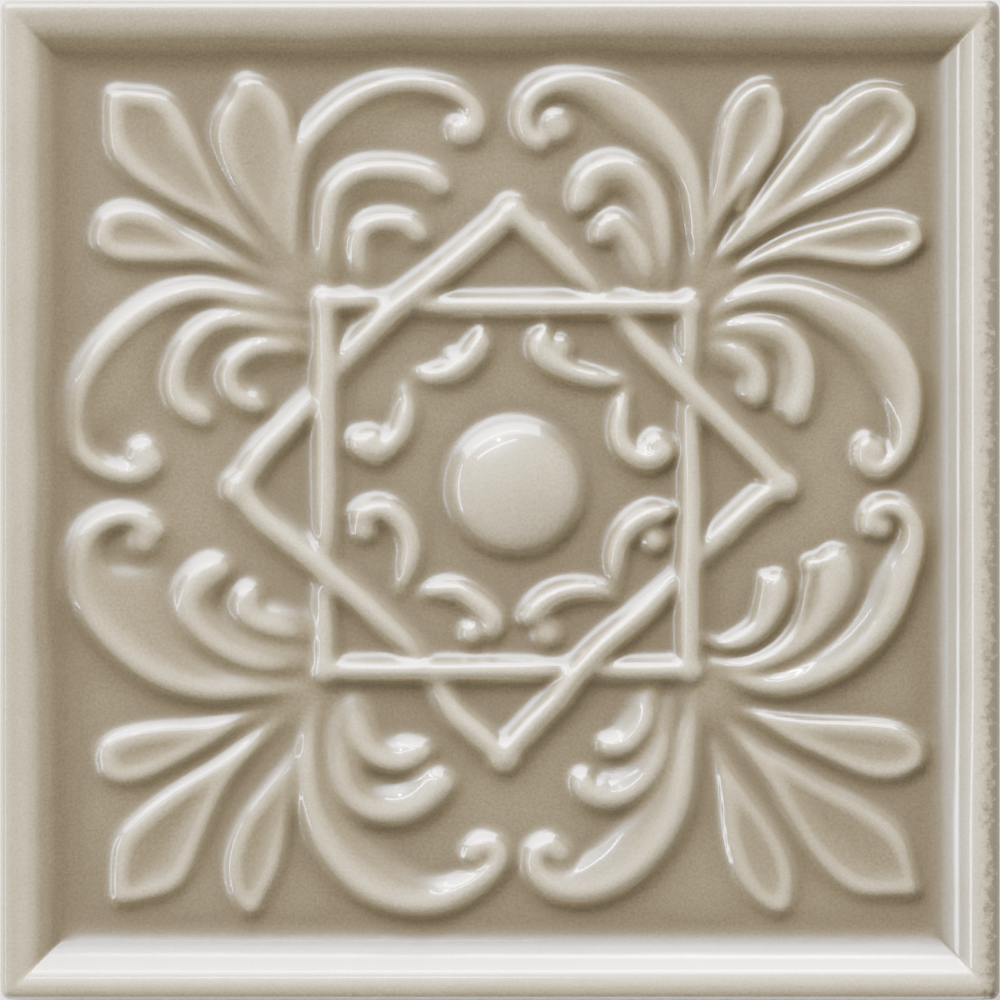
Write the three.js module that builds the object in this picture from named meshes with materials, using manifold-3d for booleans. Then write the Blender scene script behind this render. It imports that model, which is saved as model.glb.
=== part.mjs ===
import * as THREE from 'three';
import { mergeVertices } from 'three/addons/utils/BufferGeometryUtils.js';
import Module from 'manifold-3d';

// A pressed relief wall tile of glazed ceramic, one fired piece.
// Millimetres, +Z up. The tile lies on its back, and its origin is under its middle.

// The body of the tile
const tileSide = 148;
const groundHeight = 8;
const cornerRadius = 1.4;
const backChamfer = 0.6;

// The raised border around the sunk panel
const borderWidth = 9.3;
const borderHeight = 4.4;
const crestInset = 1.9;
const outerRollHeight = 1.5;
const rampStepLength = 5.1;
const rampStepDepth = 0.4;

// The shallow key recesses in the back
const keyRows = 3;
const keyDepth = 0.8;
const keyMargin = 9;
const keyLand = 8;
const keyCornerCut = 2;

// The woven square and diamond
const squareReach = 27;
const diamondReach = 40.4;
const barWidth = 4;
const overHeight = 2.9;
const underHeight = 1.5;
const weaveSlope = 3.4;
const weaveRise = 0.2;

// The boss in the middle
const bossRadius = 10.8;
const bossHeight = 4.1;
const bossShoulder = 2.1;
const bossShoulderHeight = 2.7;

// The leaves, petals and scrolls
const rimWidth = 2.3;
const scrollHeight = 2.6;
const scrollWidth = 11.5;
const scrollEyeRadius = 2.5;
const scrollEyeHeight = 2.3;
const outerLobeHeight = 2.6;
const outerLobeWidth = 5.4;
const innerLobeHeight = 2.4;
const innerLobeWidth = 4.6;
const lobeTipWidth = 1.6;
const sidePetalHeight = 2.4;
const sidePetalWidth = 9.6;
const cornerPetalHeight = 2.4;
const cornerPetalWidth = 12.2;
const petalRootWidth = 1.8;
const dishDepth = 1.1;
const innerScrollHeight = 2.6;
const innerScrollWidth = 3.9;
const innerScrollTipWidth = 1.5;
const innerEyeRadius = 1.9;
const innerEyeHeight = 2.1;
const leastLift = 0.15;

// How far each piece of the ornament is sunk into the ground that carries it
const rootDepth = 1.2;

const tileHeight = groundHeight + borderHeight;
const panelReach = tileSide / 2 - borderWidth;
const rampLength = borderWidth - crestInset;

// Points closer than this are one point
const mergeDistance = 1e-4;

const wasm = await Module();
wasm.setup();

// Solids

function toSolid(geometry) {
  const bare = geometry.clone();
  bare.deleteAttribute('normal');
  bare.deleteAttribute('uv');
  const merged = mergeVertices(bare, mergeDistance);
  const mesh = new wasm.Mesh({
    numProp: 3,
    vertProperties: new Float32Array(merged.attributes.position.array),
    triVerts: new Uint32Array(merged.index.array),
  });
  return new wasm.Manifold(mesh);
}

function toGeometry(solid) {
  const mesh = solid.getMesh();
  const geometry = new THREE.BufferGeometry();
  geometry.setAttribute('position', new THREE.BufferAttribute(mesh.vertProperties, 3));
  geometry.setIndex(new THREE.BufferAttribute(mesh.triVerts, 1));
  return geometry;
}

function signedVolume(points, triangles) {
  let sum = 0;
  for (const [a, b, c] of triangles) {
    sum += points[a].dot(points[b].clone().cross(points[c])) / 6;
  }
  return sum;
}

// The walls between the rings of a loft, and back to the first ring of a closed loop
function lofted(rings, closed) {
  const count = rings[0].length;
  const triangles = [];
  const spans = closed ? rings.length : rings.length - 1;
  for (let ring = 0; ring < spans; ring += 1) {
    const here = ring * count;
    const next = ((ring + 1) % rings.length) * count;
    for (let i = 0; i < count; i += 1) {
      const j = (i + 1) % count;
      triangles.push([here + i, here + j, next + j], [here + i, next + j, next + i]);
    }
  }
  return triangles;
}

function solidOf(points, triangles) {
  const inward = signedVolume(points, triangles) < 0;
  const order = triangles.map(([a, b, c]) => (inward ? [a, c, b] : [a, b, c]));
  const geometry = new THREE.BufferGeometry();
  geometry.setFromPoints(points);
  geometry.setIndex(order.flat());
  return toSolid(geometry);
}

// A closed solid over a row of rings that all have the same number of points
function loft(rings) {
  const count = rings[0].length;
  const points = rings.flat();
  const triangles = lofted(rings, false);
  for (const [start, turned] of [[0, true], [(rings.length - 1) * count, false]]) {
    const middle = new THREE.Vector3();
    for (let i = 0; i < count; i += 1) {
      middle.addScaledVector(points[start + i], 1 / count);
    }
    const hub = points.push(middle) - 1;
    for (let i = 0; i < count; i += 1) {
      const a = start + i;
      const b = start + (i + 1) % count;
      triangles.push(turned ? [hub, b, a] : [hub, a, b]);
    }
  }
  return solidOf(points, triangles);
}

// A closed solid whose rings run round in a loop
function loop(rings) {
  return solidOf(rings.flat(), lofted(rings, true));
}

// The ruler that the ornament is drawn with: 0 is the middle of the tile,
// 1 the middle of a side of the woven square, and 2 the edge of the panel
function ruled(mark) {
  const size = Math.abs(mark);
  const near = Math.min(size, 1) * squareReach;
  const far = Math.max(size - 1, 0) * (panelReach - squareReach);
  return Math.sign(mark) * (near + far);
}

// The eight ways that one eighth of the ornament repeats around the middle
function eighths() {
  const ways = [];
  for (let turn = 0; turn < 4; turn += 1) {
    for (const mirrored of [false, true]) {
      ways.push((x, y) => {
        const start = mirrored ? new THREE.Vector2(y, x) : new THREE.Vector2(x, y);
        return start.rotateAround(new THREE.Vector2(), turn * Math.PI / 2);
      });
    }
  }
  return ways;
}

// A band of ornament along a smooth line. Each station is
// [across mark, along mark, share of the width, share of the height, share of the dish].
// Each section point is [share of the rim, share of the web, share of the height, dish].
function band(stations, steps, section, size, placed) {
  const line = new THREE.CatmullRomCurve3(
    stations.map(([u, v]) => new THREE.Vector3(ruled(u), ruled(v), 0)), false, 'centripetal');
  const shares = new THREE.CatmullRomCurve3(
    stations.map(([, , wide, high, dish]) => new THREE.Vector3(wide, high, dish ?? 1)));
  const rings = [];
  for (let i = 0; i <= steps; i += 1) {
    const place = line.getPoint(i / steps);
    const tangent = line.getTangent(i / steps);
    const share = shares.getPoint(i / steps);
    const width = Math.max(size.width * share.x, size.least);
    const rim = Math.min(size.rim, width);
    const ring = section.map(([rimShare, webShare, highShare, dishShare]) => {
      const across = rim * rimShare + (width - rim) * webShare - width * size.middle;
      const lift = size.height * share.y * highShare - size.dish * share.z * dishShare;
      const x = place.x - tangent.y * across;
      const y = place.y + tangent.x * across;
      const spot = placed(x, y);
      const height = highShare === 0 ? -rootDepth : Math.max(lift, leastLift);
      return new THREE.Vector3(spot.x, spot.y, groundHeight + height);
    });
    rings.push(ring);
  }
  return loft(rings);
}

// Sections

const rimmedSection = [
  [0, 0, 0, 0], [0.06, 0, 0.45, 0], [0.45, 0, 1, 0], [0.9, 0, 0.84, 0],
  [1, 0.35, 0.5, 0], [1, 0.9, 0.28, 0], [1, 1, 0, 0],
];

const roundedSection = [
  [0, 0, 0, 0], [0.06, 0, 0.5, 0], [0.32, 0, 1, 0], [0.72, 0, 0.72, 0], [1, 0, 0, 0],
];

const spoonSection = [
  [0, 0, 0, 0], [0, 0.03, 0.4, 0], [0, 0.13, 1, 0], [0, 0.26, 0.85, 0.5], [0, 0.5, 0.8, 1],
  [0, 0.74, 0.85, 0.5], [0, 0.87, 1, 0], [0, 0.97, 0.4, 0], [0, 1, 0, 0],
];

// The ornament of one eighth, from the corner of the square outwards

const scrollSize = {
  width: scrollWidth, least: rimWidth, rim: rimWidth, middle: 0, height: scrollHeight, dish: 0,
};

function bigScroll(placed) {
  const stations = [
    [1.03, 0.98, 0.25, 0.45], [1.09, 1.24, 0.45, 0.85], [1.13, 1.45, 0.6, 0.95],
    [1.12, 1.64, 0.85, 1], [1.01, 1.81, 1, 1], [0.79, 1.93, 0.85, 1], [0.5, 1.99, 0.55, 1],
    [0.27, 1.97, 0.3, 1], [0.11, 1.88, 0.2, 1], [0.07, 1.75, 0.2, 0.95], [0.16, 1.67, 0.2, 0.8],
  ];
  return band(stations, 16, rimmedSection, scrollSize, placed);
}

const outerLobeSize = {
  width: outerLobeWidth, least: lobeTipWidth, rim: outerLobeWidth, middle: 0,
  height: outerLobeHeight, dish: 0,
};

function outerLobe(placed) {
  const stations = [
    [0.96, 1.08, 0.6, 0.4], [0.97, 1.3, 0.9, 0.8], [0.88, 1.52, 1, 1], [0.7, 1.62, 1, 1],
    [0.47, 1.59, 0.95, 1], [0.34, 1.47, 0.6, 0.9],
  ];
  return band(stations, 9, roundedSection, outerLobeSize, placed);
}

const innerLobeSize = {
  width: innerLobeWidth, least: lobeTipWidth, rim: innerLobeWidth, middle: 0,
  height: innerLobeHeight, dish: 0,
};

function innerLobe(placed) {
  const stations = [
    [0.86, 1.1, 0.8, 0.5], [0.84, 1.28, 1, 0.85], [0.72, 1.4, 1, 1], [0.54, 1.39, 0.95, 1],
    [0.44, 1.28, 0.55, 0.9],
  ];
  return band(stations, 8, roundedSection, innerLobeSize, placed);
}

const sidePetalSize = {
  width: sidePetalWidth, least: petalRootWidth, rim: 0, middle: 0.5,
  height: sidePetalHeight, dish: dishDepth,
};

function sidePetal(placed) {
  const stations = [
    [1.06, 1.06, 0.2, 0.5, 0], [1.16, 1.3, 0.5, 0.8, 0.4], [1.26, 1.55, 0.85, 1, 0.9],
    [1.31, 1.77, 1, 1, 1], [1.31, 1.87, 0.8, 0.95, 0.6], [1.31, 1.93, 0.36, 0.8, 0],
  ];
  return band(stations, 7, spoonSection, sidePetalSize, placed);
}

const cornerPetalSize = {
  width: cornerPetalWidth, least: petalRootWidth, rim: 0, middle: 0.5,
  height: cornerPetalHeight, dish: dishDepth,
};

function cornerPetal(placed) {
  const stations = [
    [1.04, 1.04, 0.15, 0.5, 0], [1.3, 1.3, 0.5, 0.85, 0.4], [1.55, 1.55, 0.86, 1, 0.9],
    [1.74, 1.74, 1, 1, 1], [1.85, 1.85, 0.9, 0.95, 0.6], [1.9, 1.9, 0.55, 0.8, 0],
  ];
  return band(stations, 7, spoonSection, cornerPetalSize, placed);
}

const innerScrollSize = {
  width: innerScrollWidth, least: innerScrollTipWidth, rim: innerScrollWidth, middle: 0.5,
  height: innerScrollHeight, dish: 0,
};

function innerScroll(placed) {
  const stations = [
    [0.65, 0.62, 0.55, 0.7], [0.5, 0.57, 1, 0.95], [0.32, 0.59, 1, 1], [0.18, 0.68, 0.9, 1],
    [0.14, 0.81, 0.75, 1], [0.21, 0.9, 0.6, 0.9], [0.3, 0.86, 0.5, 0.7],
  ];
  return band(stations, 11, roundedSection, innerScrollSize, placed);
}

// A round form standing on the ground, turned from points of distance out and height
function turned(x, y, points, facets) {
  const foot = [[0, -rootDepth], [points[0][0], -rootDepth]];
  const profile = [...foot, ...points].map(([out, height]) => new THREE.Vector2(out, height));
  const geometry = new THREE.LatheGeometry(profile, facets);
  geometry.rotateX(Math.PI / 2);
  geometry.translate(x, y, groundHeight);
  return toSolid(geometry);
}

// Shares of the radius and of the height, from the side of a button to its top
const eyeProfile = [[1, 0.1], [0.97, 0.4], [0.6, 0.88], [0, 1]];

// A low round button that closes the curl of a scroll
function eye(mark, radius, height, placed) {
  const spot = placed(ruled(mark[0]), ruled(mark[1]));
  const points = eyeProfile.map(([out, high]) => [radius * out, height * high]);
  return turned(spot.x, spot.y, points, 8);
}

// The boss

function boss() {
  const domeRadius = bossRadius - bossShoulder;
  const domeHeight = bossHeight - bossShoulderHeight;
  const points = [[bossRadius, 0], [bossRadius - bossShoulder / 3, bossShoulderHeight / 2]];
  const steps = 4;
  for (let i = 0; i < steps; i += 1) {
    const angle = (i / steps) * Math.PI / 2;
    points.push([
      domeRadius * Math.cos(angle), bossShoulderHeight + domeHeight * Math.sin(angle),
    ]);
  }
  points.push([0, bossHeight]);
  return turned(0, 0, points, 28);
}

// The woven bars

const barSection = [[-1, 0], [-0.93, 0.45], [-0.55, 0.9], [0, 1], [0.55, 0.9], [0.93, 0.45], [1, 0]];

// The height of a bar at a distance from its nearest crossing
function weaveHeight(distance, over) {
  const crossing = over ? overHeight : underHeight;
  const between = (overHeight + underHeight) / 2 + weaveRise;
  const fade = Math.min(distance / weaveSlope, 1);
  const smooth = fade * fade * (3 - 2 * fade);
  return crossing + (between - crossing) * smooth;
}

// The square or the diamond, as one closed loop of four sides with mitred corners
function wovenLoop(corner, spread) {
  const rings = [];
  for (let turn = 0; turn < 4; turn += 1) {
    const middle = new THREE.Vector2();
    const start = corner.clone().rotateAround(middle, turn * Math.PI / 2);
    const end = corner.clone().rotateAround(middle, (turn + 1) * Math.PI / 2);
    const length = start.distanceTo(end);
    const along = end.clone().sub(start).normalize();
    const marks = [0];
    for (const crossing of [length / 2 - spread, length / 2 + spread]) {
      marks.push(crossing - weaveSlope, crossing, crossing + weaveSlope);
    }
    for (const mark of marks) {
      const over = mark < length / 2;
      const crossing = length / 2 + (over ? -spread : spread);
      const height = weaveHeight(Math.abs(mark - crossing), over);
      rings.push(barSection.map(([share, rise]) => {
        const across = share * barWidth / 2;
        const place = start.clone().addScaledVector(along, mark + (mark === 0 ? across : 0));
        const x = place.x - along.y * across;
        const y = place.y + along.x * across;
        return new THREE.Vector3(x, y, groundHeight + (rise === 0 ? -rootDepth : rise * height));
      }));
    }
  }
  return loop(rings);
}

// Each loop goes over the other at its first crossing on a side, and under at its second
function wovenStar() {
  const squareCorner = new THREE.Vector2(squareReach, squareReach);
  const diamondCorner = new THREE.Vector2(diamondReach, 0);
  const squareSpread = diamondReach - squareReach;
  const diamondSpread = (2 * squareReach - diamondReach) / Math.SQRT2;
  return [wovenLoop(squareCorner, squareSpread), wovenLoop(diamondCorner, diamondSpread)];
}

// The slab with its border

// How far the inner slope of the border has dropped, as a share of its height.
// It falls in two waves, steep first, then gentle, then steep again at the foot.
function rampDrop(share) {
  const turns = 2 * Math.PI * rampLength / rampStepLength;
  const raw = (t) => t - rampStepDepth * Math.sin(turns * t) / turns;
  return raw(share) / raw(1);
}

function borderProfile() {
  const profile = [
    [backChamfer, 0], [0, backChamfer], [0, tileHeight - outerRollHeight],
    [crestInset * 0.16, tileHeight - outerRollHeight * 0.42],
    [crestInset * 0.52, tileHeight - outerRollHeight * 0.1], [crestInset, tileHeight],
  ];
  const steps = 7;
  for (let i = 1; i <= steps; i += 1) {
    const share = i / steps;
    profile.push([
      crestInset + share * rampLength, tileHeight - borderHeight * rampDrop(share),
    ]);
  }
  return profile;
}

// One rounded square around the tile, at an inset from its side
function squareRing(inset, height) {
  const radius = Math.max(cornerRadius - inset, 0.25);
  const reach = tileSide / 2 - inset - radius;
  const ring = [];
  for (let corner = 0; corner < 4; corner += 1) {
    const middle = new THREE.Vector2(reach, reach);
    for (let i = 0; i <= 2; i += 1) {
      const angle = i * Math.PI / 4;
      const point = new THREE.Vector2(Math.cos(angle), Math.sin(angle));
      point.multiplyScalar(radius).add(middle);
      point.rotateAround(new THREE.Vector2(), corner * Math.PI / 2);
      ring.push(new THREE.Vector3(point.x, point.y, height));
    }
  }
  return ring;
}

function slab() {
  return loft(borderProfile().map(([inset, height]) => squareRing(inset, height)));
}

function keyRecess(x, y, side) {
  const half = side / 2;
  const cut = Math.min(keyCornerCut, half * 0.8);
  const outline = new THREE.Shape();
  outline.moveTo(-half + cut, -half);
  outline.lineTo(half - cut, -half);
  outline.lineTo(half, -half + cut);
  outline.lineTo(half, half - cut);
  outline.lineTo(half - cut, half);
  outline.lineTo(-half + cut, half);
  outline.lineTo(-half, half - cut);
  outline.lineTo(-half, -half + cut);
  outline.closePath();
  const geometry = new THREE.ExtrudeGeometry(outline, { depth: 2 * keyDepth, bevelEnabled: false });
  geometry.translate(x, y, -keyDepth);
  return toSolid(geometry);
}

function keyRecesses() {
  const recesses = [];
  const side = (tileSide - 2 * keyMargin - (keyRows - 1) * keyLand) / keyRows;
  const first = -tileSide / 2 + keyMargin + side / 2;
  for (let row = 0; row < keyRows; row += 1) {
    for (let column = 0; column < keyRows; column += 1) {
      const step = side + keyLand;
      recesses.push(keyRecess(first + column * step, first + row * step, side));
    }
  }
  return recesses;
}

// The whole tile

function ornament() {
  const pieces = [boss(), ...wovenStar()];
  eighths().forEach((placed, index) => {
    pieces.push(bigScroll(placed));
    pieces.push(outerLobe(placed));
    pieces.push(innerLobe(placed));
    pieces.push(sidePetal(placed));
    pieces.push(innerScroll(placed));
    pieces.push(eye([0.235, 1.735], scrollEyeRadius, scrollEyeHeight, placed));
    pieces.push(eye([0.27, 0.81], innerEyeRadius, innerEyeHeight, placed));
    // A corner petal stands on the line between two eighths, so each pair has one
    if (index % 2 === 0) {
      pieces.push(cornerPetal(placed));
    }
  });
  return pieces;
}

function tileGeometry() {
  let solid = slab();
  for (const piece of ornament()) {
    solid = solid.add(piece);
  }
  for (const recess of keyRecesses()) {
    solid = solid.subtract(recess);
  }
  const geometry = toGeometry(solid);
  geometry.computeVertexNormals();
  return geometry;
}

const glaze = new THREE.MeshStandardMaterial({ color: 0xb8ad98, roughness: 0.22, metalness: 0 });

const tile = new THREE.Group();
const reliefTile = new THREE.Mesh(tileGeometry(), glaze);
reliefTile.name = 'relief_tile';
tile.add(reliefTile);

export default tile;
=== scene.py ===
"""A pressed relief wall tile of glazed ceramic, lying on its back under studio light."""

import math

import bpy
import numpy as np
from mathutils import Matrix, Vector


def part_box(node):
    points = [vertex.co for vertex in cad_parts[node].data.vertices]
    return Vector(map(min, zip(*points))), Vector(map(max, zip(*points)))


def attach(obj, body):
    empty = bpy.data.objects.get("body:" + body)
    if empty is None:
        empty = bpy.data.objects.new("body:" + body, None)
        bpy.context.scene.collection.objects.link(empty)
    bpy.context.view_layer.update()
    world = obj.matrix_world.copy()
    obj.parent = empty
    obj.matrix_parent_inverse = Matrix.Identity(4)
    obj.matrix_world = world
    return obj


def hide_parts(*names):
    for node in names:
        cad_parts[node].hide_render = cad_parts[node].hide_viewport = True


bl_info = {
    "name": "Relief Tile",
    "version": (1, 0, 0),
    "blender": (4, 5, 0),
    "location": "3D View > Sidebar > Relief Tile",
    "description": "Models a pressed relief wall tile and glazes it",
    "category": "Add Mesh",
}

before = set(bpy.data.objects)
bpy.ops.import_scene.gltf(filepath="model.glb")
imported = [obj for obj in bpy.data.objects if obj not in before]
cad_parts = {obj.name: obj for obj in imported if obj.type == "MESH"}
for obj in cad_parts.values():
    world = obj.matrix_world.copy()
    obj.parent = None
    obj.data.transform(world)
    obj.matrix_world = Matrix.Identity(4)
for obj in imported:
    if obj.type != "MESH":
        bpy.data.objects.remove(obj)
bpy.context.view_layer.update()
TILE_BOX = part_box("relief_tile")

MM = 0.001

# Sizes on the face, in metres. They are those of the solid that this piece replaces.
PANEL_GROUND = 8.0 * MM
BORDER_WIDTH = 9.3 * MM

# The forms of the relief start a little below the ground, so that they meet it cleanly
ROOT_DEPTH = 0.3 * MM

# The glaze melts over the clay and rounds it, most where it lies thickest, on the left and
# along the bottom, and runs off the ridges into the hollows, both narrow and wide. How far it runs
# sets the colour, which is partly pooled glaze and partly painted shade in the hollows and painted
# light on the ridges.
LEAST_MELT, MOST_MELT, FOOT_MELT = 2, 13, 16
POOL_STEPS = (45, 260)

# The relief was modelled by hand, so no two of its leaves are quite alike. Each crest is
# read from the photograph, in its pixels, of which 1000 cross the tile.
PIXELS_ACROSS = 1000

# Crests of the scrolls: across, down, and the width in mm of the web inside the crest
SCROLL_CRESTS = {
    "top_left_upper": [
        (306, 290, 1.2), (291, 262, 1.5), (288, 227, 2), (289, 190, 3), (295, 153, 5),
        (316, 122, 7), (348, 95, 8), (390, 78, 7), (434, 79, 4), (465, 92, 2), (480, 112, 1.4),
        (477, 133, 1.2), (464, 142, 1.2)],
    "top_left_side": [
        (310, 306, 1.2), (285, 304, 1.5), (240, 293, 2.5), (199, 286, 4), (159, 296, 7),
        (115, 327, 11), (81, 371, 13), (68, 415, 10), (77, 456, 4), (112, 477, 2),
        (141, 477, 1.5), (157, 463, 1.3), (152, 449, 1.2)],
    "top_right_upper": [
        (702, 292, 1.2), (704, 262, 1.5), (703, 205, 2), (697, 168, 4), (682, 138, 6),
        (659, 110, 7), (632, 88, 7), (605, 76, 6), (575, 71, 5), (545, 78, 3.5), (524, 97, 2.5),
        (518, 122, 2), (530, 143, 1.6), (550, 147, 1.2)],
    "top_right_side": [
        (699, 322, 1.2), (714, 310, 1.5), (747, 291, 2.5), (790, 285, 4), (834, 297, 5.5),
        (872, 316, 6.5), (903, 344, 7), (919, 380, 6.5), (919, 418, 4.5), (907, 453, 2.2),
        (882, 475, 1.4), (862, 465, 1.2), (860, 447, 1.2), (873, 434, 1.1)],
    "bottom_left_side": [
        (318, 690, 1.2), (300, 694, 1.5), (259, 695, 3), (209, 698, 6), (159, 685, 11),
        (112, 652, 15), (78, 611, 14), (66, 571, 10), (75, 540, 5), (99, 518, 2.6),
        (126, 512, 2), (152, 521, 1.5), (163, 537, 1.2)],
    "bottom_left_lower": [
        (320, 690, 1.2), (312, 712, 1.5), (305, 740, 2.5), (301, 775, 4.5), (305, 815, 7),
        (324, 857, 8), (358, 893, 8), (398, 911, 7), (440, 911, 5), (477, 891, 3.2),
        (500, 870, 2.2), (504, 850, 1.6), (487, 841, 1.3), (468, 846, 1.2)],
    "bottom_right_lower": [
        (700, 688, 1.2), (699, 712, 1.5), (694, 740, 2.5), (691, 774, 4.5), (686, 806, 6.5),
        (664, 850, 7.5), (625, 886, 7), (580, 901, 6), (548, 893, 4), (530, 873, 2.4),
        (530, 853, 1.8), (546, 842, 1.5), (562, 845, 1.2)],
    "bottom_right_side": [
        (700, 677, 1.2), (722, 680, 1.5), (775, 693, 3), (822, 683, 5), (866, 657, 5.6),
        (898, 620, 5.6), (913, 583, 5), (923, 548, 3.6), (920, 519, 2.6), (898, 502, 2),
        (875, 505, 1.5), (865, 523, 1.3), (873, 538, 1.2)],
}

# Crests of the lobes inside the scrolls: across and down
OUTER_LOBE_CRESTS = {
    "top_left_upper": [
        (323, 294), (320, 262), (320, 234), (326, 194), (352, 168), (393, 163), (434, 172),
        (452, 192)],
    "top_left_side": [
        (316, 326), (285, 322), (256, 316), (215, 316), (181, 344), (168, 382), (178, 408),
        (212, 427)],
    "top_right_upper": [
        (672, 300), (671, 280), (671, 240), (662, 192), (640, 165), (612, 158), (585, 170),
        (573, 197), (578, 217)],
    "top_right_side": [
        (700, 332), (725, 324), (755, 319), (790, 327), (808, 350), (812, 382), (806, 408),
        (796, 428)],
    "bottom_left_side": [
        (320, 668), (300, 670), (259, 671), (220, 657), (186, 628), (177, 603), (190, 575),
        (212, 561), (234, 569)],
    "bottom_left_lower": [
        (335, 700), (331, 730), (331, 760), (340, 799), (369, 820), (409, 819), (438, 800),
        (456, 776)],
    "bottom_right_lower": [
        (676, 700), (673, 725), (667, 757), (648, 789), (616, 806), (585, 798), (577, 780),
        (592, 770)],
}
INNER_LOBE_CRESTS = {
    "top_left_upper": [
        (362, 290), (354, 268), (351, 243), (363, 221), (390, 215), (415, 221), (429, 242)],
    "top_left_side": [
        (315, 345), (294, 342), (256, 342), (228, 361), (222, 380), (236, 403), (268, 412)],
    "top_right_upper": [
        (656, 300), (655, 280), (650, 255), (634, 227), (613, 214), (598, 226), (594, 246)],
    "top_right_side": [
        (702, 344), (716, 342), (742, 347), (762, 363), (767, 383), (759, 410)],
    "bottom_left_side": [
        (316, 644), (303, 641), (277, 637), (246, 626), (234, 607), (243, 590), (262, 588)],
    "bottom_left_lower": [
        (346, 694), (347, 716), (354, 747), (376, 767), (405, 770), (428, 754), (433, 743)],
    "bottom_right_lower": [
        (658, 688), (656, 704), (649, 729), (630, 751), (607, 752), (598, 738)],
}

# Crests of the small curls around the boss
CURL_CRESTS = {
    "top_left_upper": [(414, 372), (430, 380), (452, 379), (471, 369), (485, 352), (487, 336),
                       (477, 327)],
    "top_left_side": [(404, 384), (411, 405), (409, 427), (397, 449), (378, 461), (357, 456),
                      (347, 442), (357, 430)],
    "top_right_upper": [(629, 380), (600, 384), (570, 379), (545, 368), (530, 350), (535, 333),
                        (550, 326)],
    "top_right_side": [(631, 386), (618, 408), (613, 432), (620, 454), (643, 469), (665, 465),
                       (674, 450), (666, 438)],
    "bottom_left_side": [(399, 596), (412, 571), (418, 545), (410, 519), (388, 501), (364, 503),
                         (348, 518)],
    "bottom_left_lower": [(419, 598), (434, 587), (456, 583), (479, 594), (501, 615), (499, 632),
                          (488, 640)],
    "bottom_right_lower": [(616, 602), (602, 587), (576, 583), (549, 589), (528, 605),
                           (519, 624)],
    "bottom_right_side": [(617, 592), (610, 562), (614, 538), (630, 516), (654, 504), (676, 511)],
}

# Petals: points along the middle, across and down, and the width there, all in pixels
PETALS = {
    "top_left_corner": [(280, 270, 10), (224, 216, 34), (187, 181, 64), (158, 148, 86),
                        (138, 121, 84), (121, 103, 44), (106, 87, 4)],
    "top_left_upper": [(286, 266, 12), (274, 228, 30), (263, 192, 56), (257, 160, 80),
                       (254, 134, 88), (253, 106, 72), (248, 88, 44), (239, 72, 10)],
    "top_left_side": [(272, 282, 10), (209, 254, 26), (176, 246, 42), (143, 236, 60),
                      (115, 232, 60), (99, 228, 40), (91, 225, 14)],
    "top_right_corner": [(712, 268, 10), (750, 232, 26), (788, 199, 42), (824, 170, 64),
                         (858, 140, 84), (884, 118, 82), (902, 104, 58), (914, 94, 14)],
    "top_right_upper": [(705, 272, 10), (714, 225, 20), (727, 190, 36), (742, 155, 54),
                        (754, 122, 62), (765, 98, 48), (779, 81, 14)],
    "top_right_side": [(722, 284, 10), (762, 258, 18), (800, 246, 30), (840, 243, 46),
                       (878, 240, 58), (905, 236, 50), (928, 230, 18)],
    "bottom_left_corner": [(300, 703, 8), (262, 737, 16), (219, 777, 32), (193, 805, 54),
                           (170, 834, 74), (147, 866, 84), (128, 889, 46), (112, 908, 4)],
    "bottom_left_side": [(288, 706, 8), (240, 722, 16), (200, 738, 34), (165, 748, 50),
                         (135, 757, 58), (109, 763, 48), (94, 766, 18)],
    "bottom_left_lower": [(306, 733, 8), (292, 765, 18), (277, 800, 38), (262, 835, 56),
                          (252, 868, 58), (249, 895, 42), (252, 921, 12)],
    "bottom_right_corner": [(722, 720, 10), (762, 760, 26), (784, 779, 40), (810, 806, 60),
                            (846, 838, 84), (882, 866, 82), (904, 883, 42), (924, 899, 4)],
    "bottom_right_side": [(728, 706, 8), (765, 720, 20), (800, 733, 36), (840, 743, 52),
                          (875, 751, 64), (905, 754, 56), (932, 755, 20)],
    "bottom_right_lower": [(711, 735, 8), (722, 765, 18), (736, 800, 36), (750, 835, 56),
                           (765, 870, 62), (776, 896, 46), (787, 918, 12)],
}

# How deep each petal is dished, as a share of its height
DISHES = {
    "top_left_corner": 0.62,
    "top_left_upper": 0.3,
    "top_left_side": 0.5,
    "top_right_corner": 0.6,
    "top_right_upper": 0.5,
    "top_right_side": 0.5,
    "bottom_left_corner": 0.65,
    "bottom_left_side": 0.45,
    "bottom_left_lower": 0.5,
    "bottom_right_corner": 0.6,
    "bottom_right_side": 0.35,
    "bottom_right_lower": 0.5,
}

# The lines above follow the outer shoulder of each leaf, and the crest lies inside it
SHOULDER = 0.6 * MM

# Half the width of the veins, and the share of the heights below, of veins and eyes, that
# still stands out of the glaze
VEIN_HALF = 0.75 * MM
STANDING_SHARE = 0.75

# Fine raised veins: across, down, and the height in mm
VEINS = [
    [(897, 566, 2.6), (893, 598, 3.5), (874, 634, 3.6), (842, 666, 3.4), (806, 684, 2.6)],
    [(813, 560, 2.6), (808, 590, 3.2), (800, 622, 3.0), (782, 648, 2.8), (752, 666, 2.0)],
    [(828, 580, 3.3), (826, 610, 3.2), (808, 640, 3.0), (778, 660, 2.6)],
    [(765, 572, 2.2), (762, 600, 2.8), (754, 624, 2.6), (730, 640, 1.8)],
    [(640, 100, 3.4), (662, 135, 3.3), (677, 165, 2.9), (686, 195, 2.5), (691, 240, 1.6)],
    [(828, 112, 2.4), (800, 152, 3.0), (770, 190, 3.0), (735, 236, 2.6), (716, 262, 1.8)],
    [(894, 112, 1.6), (876, 140, 2.2), (848, 160, 2.0)],
    [(783, 106, 2.6), (776, 146, 3.1), (758, 178, 3.0), (738, 214, 2.2)],
    [(163, 100, 1.8), (171, 130, 2.4), (178, 160, 2.2), (192, 196, 1.6)],
]

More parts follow.
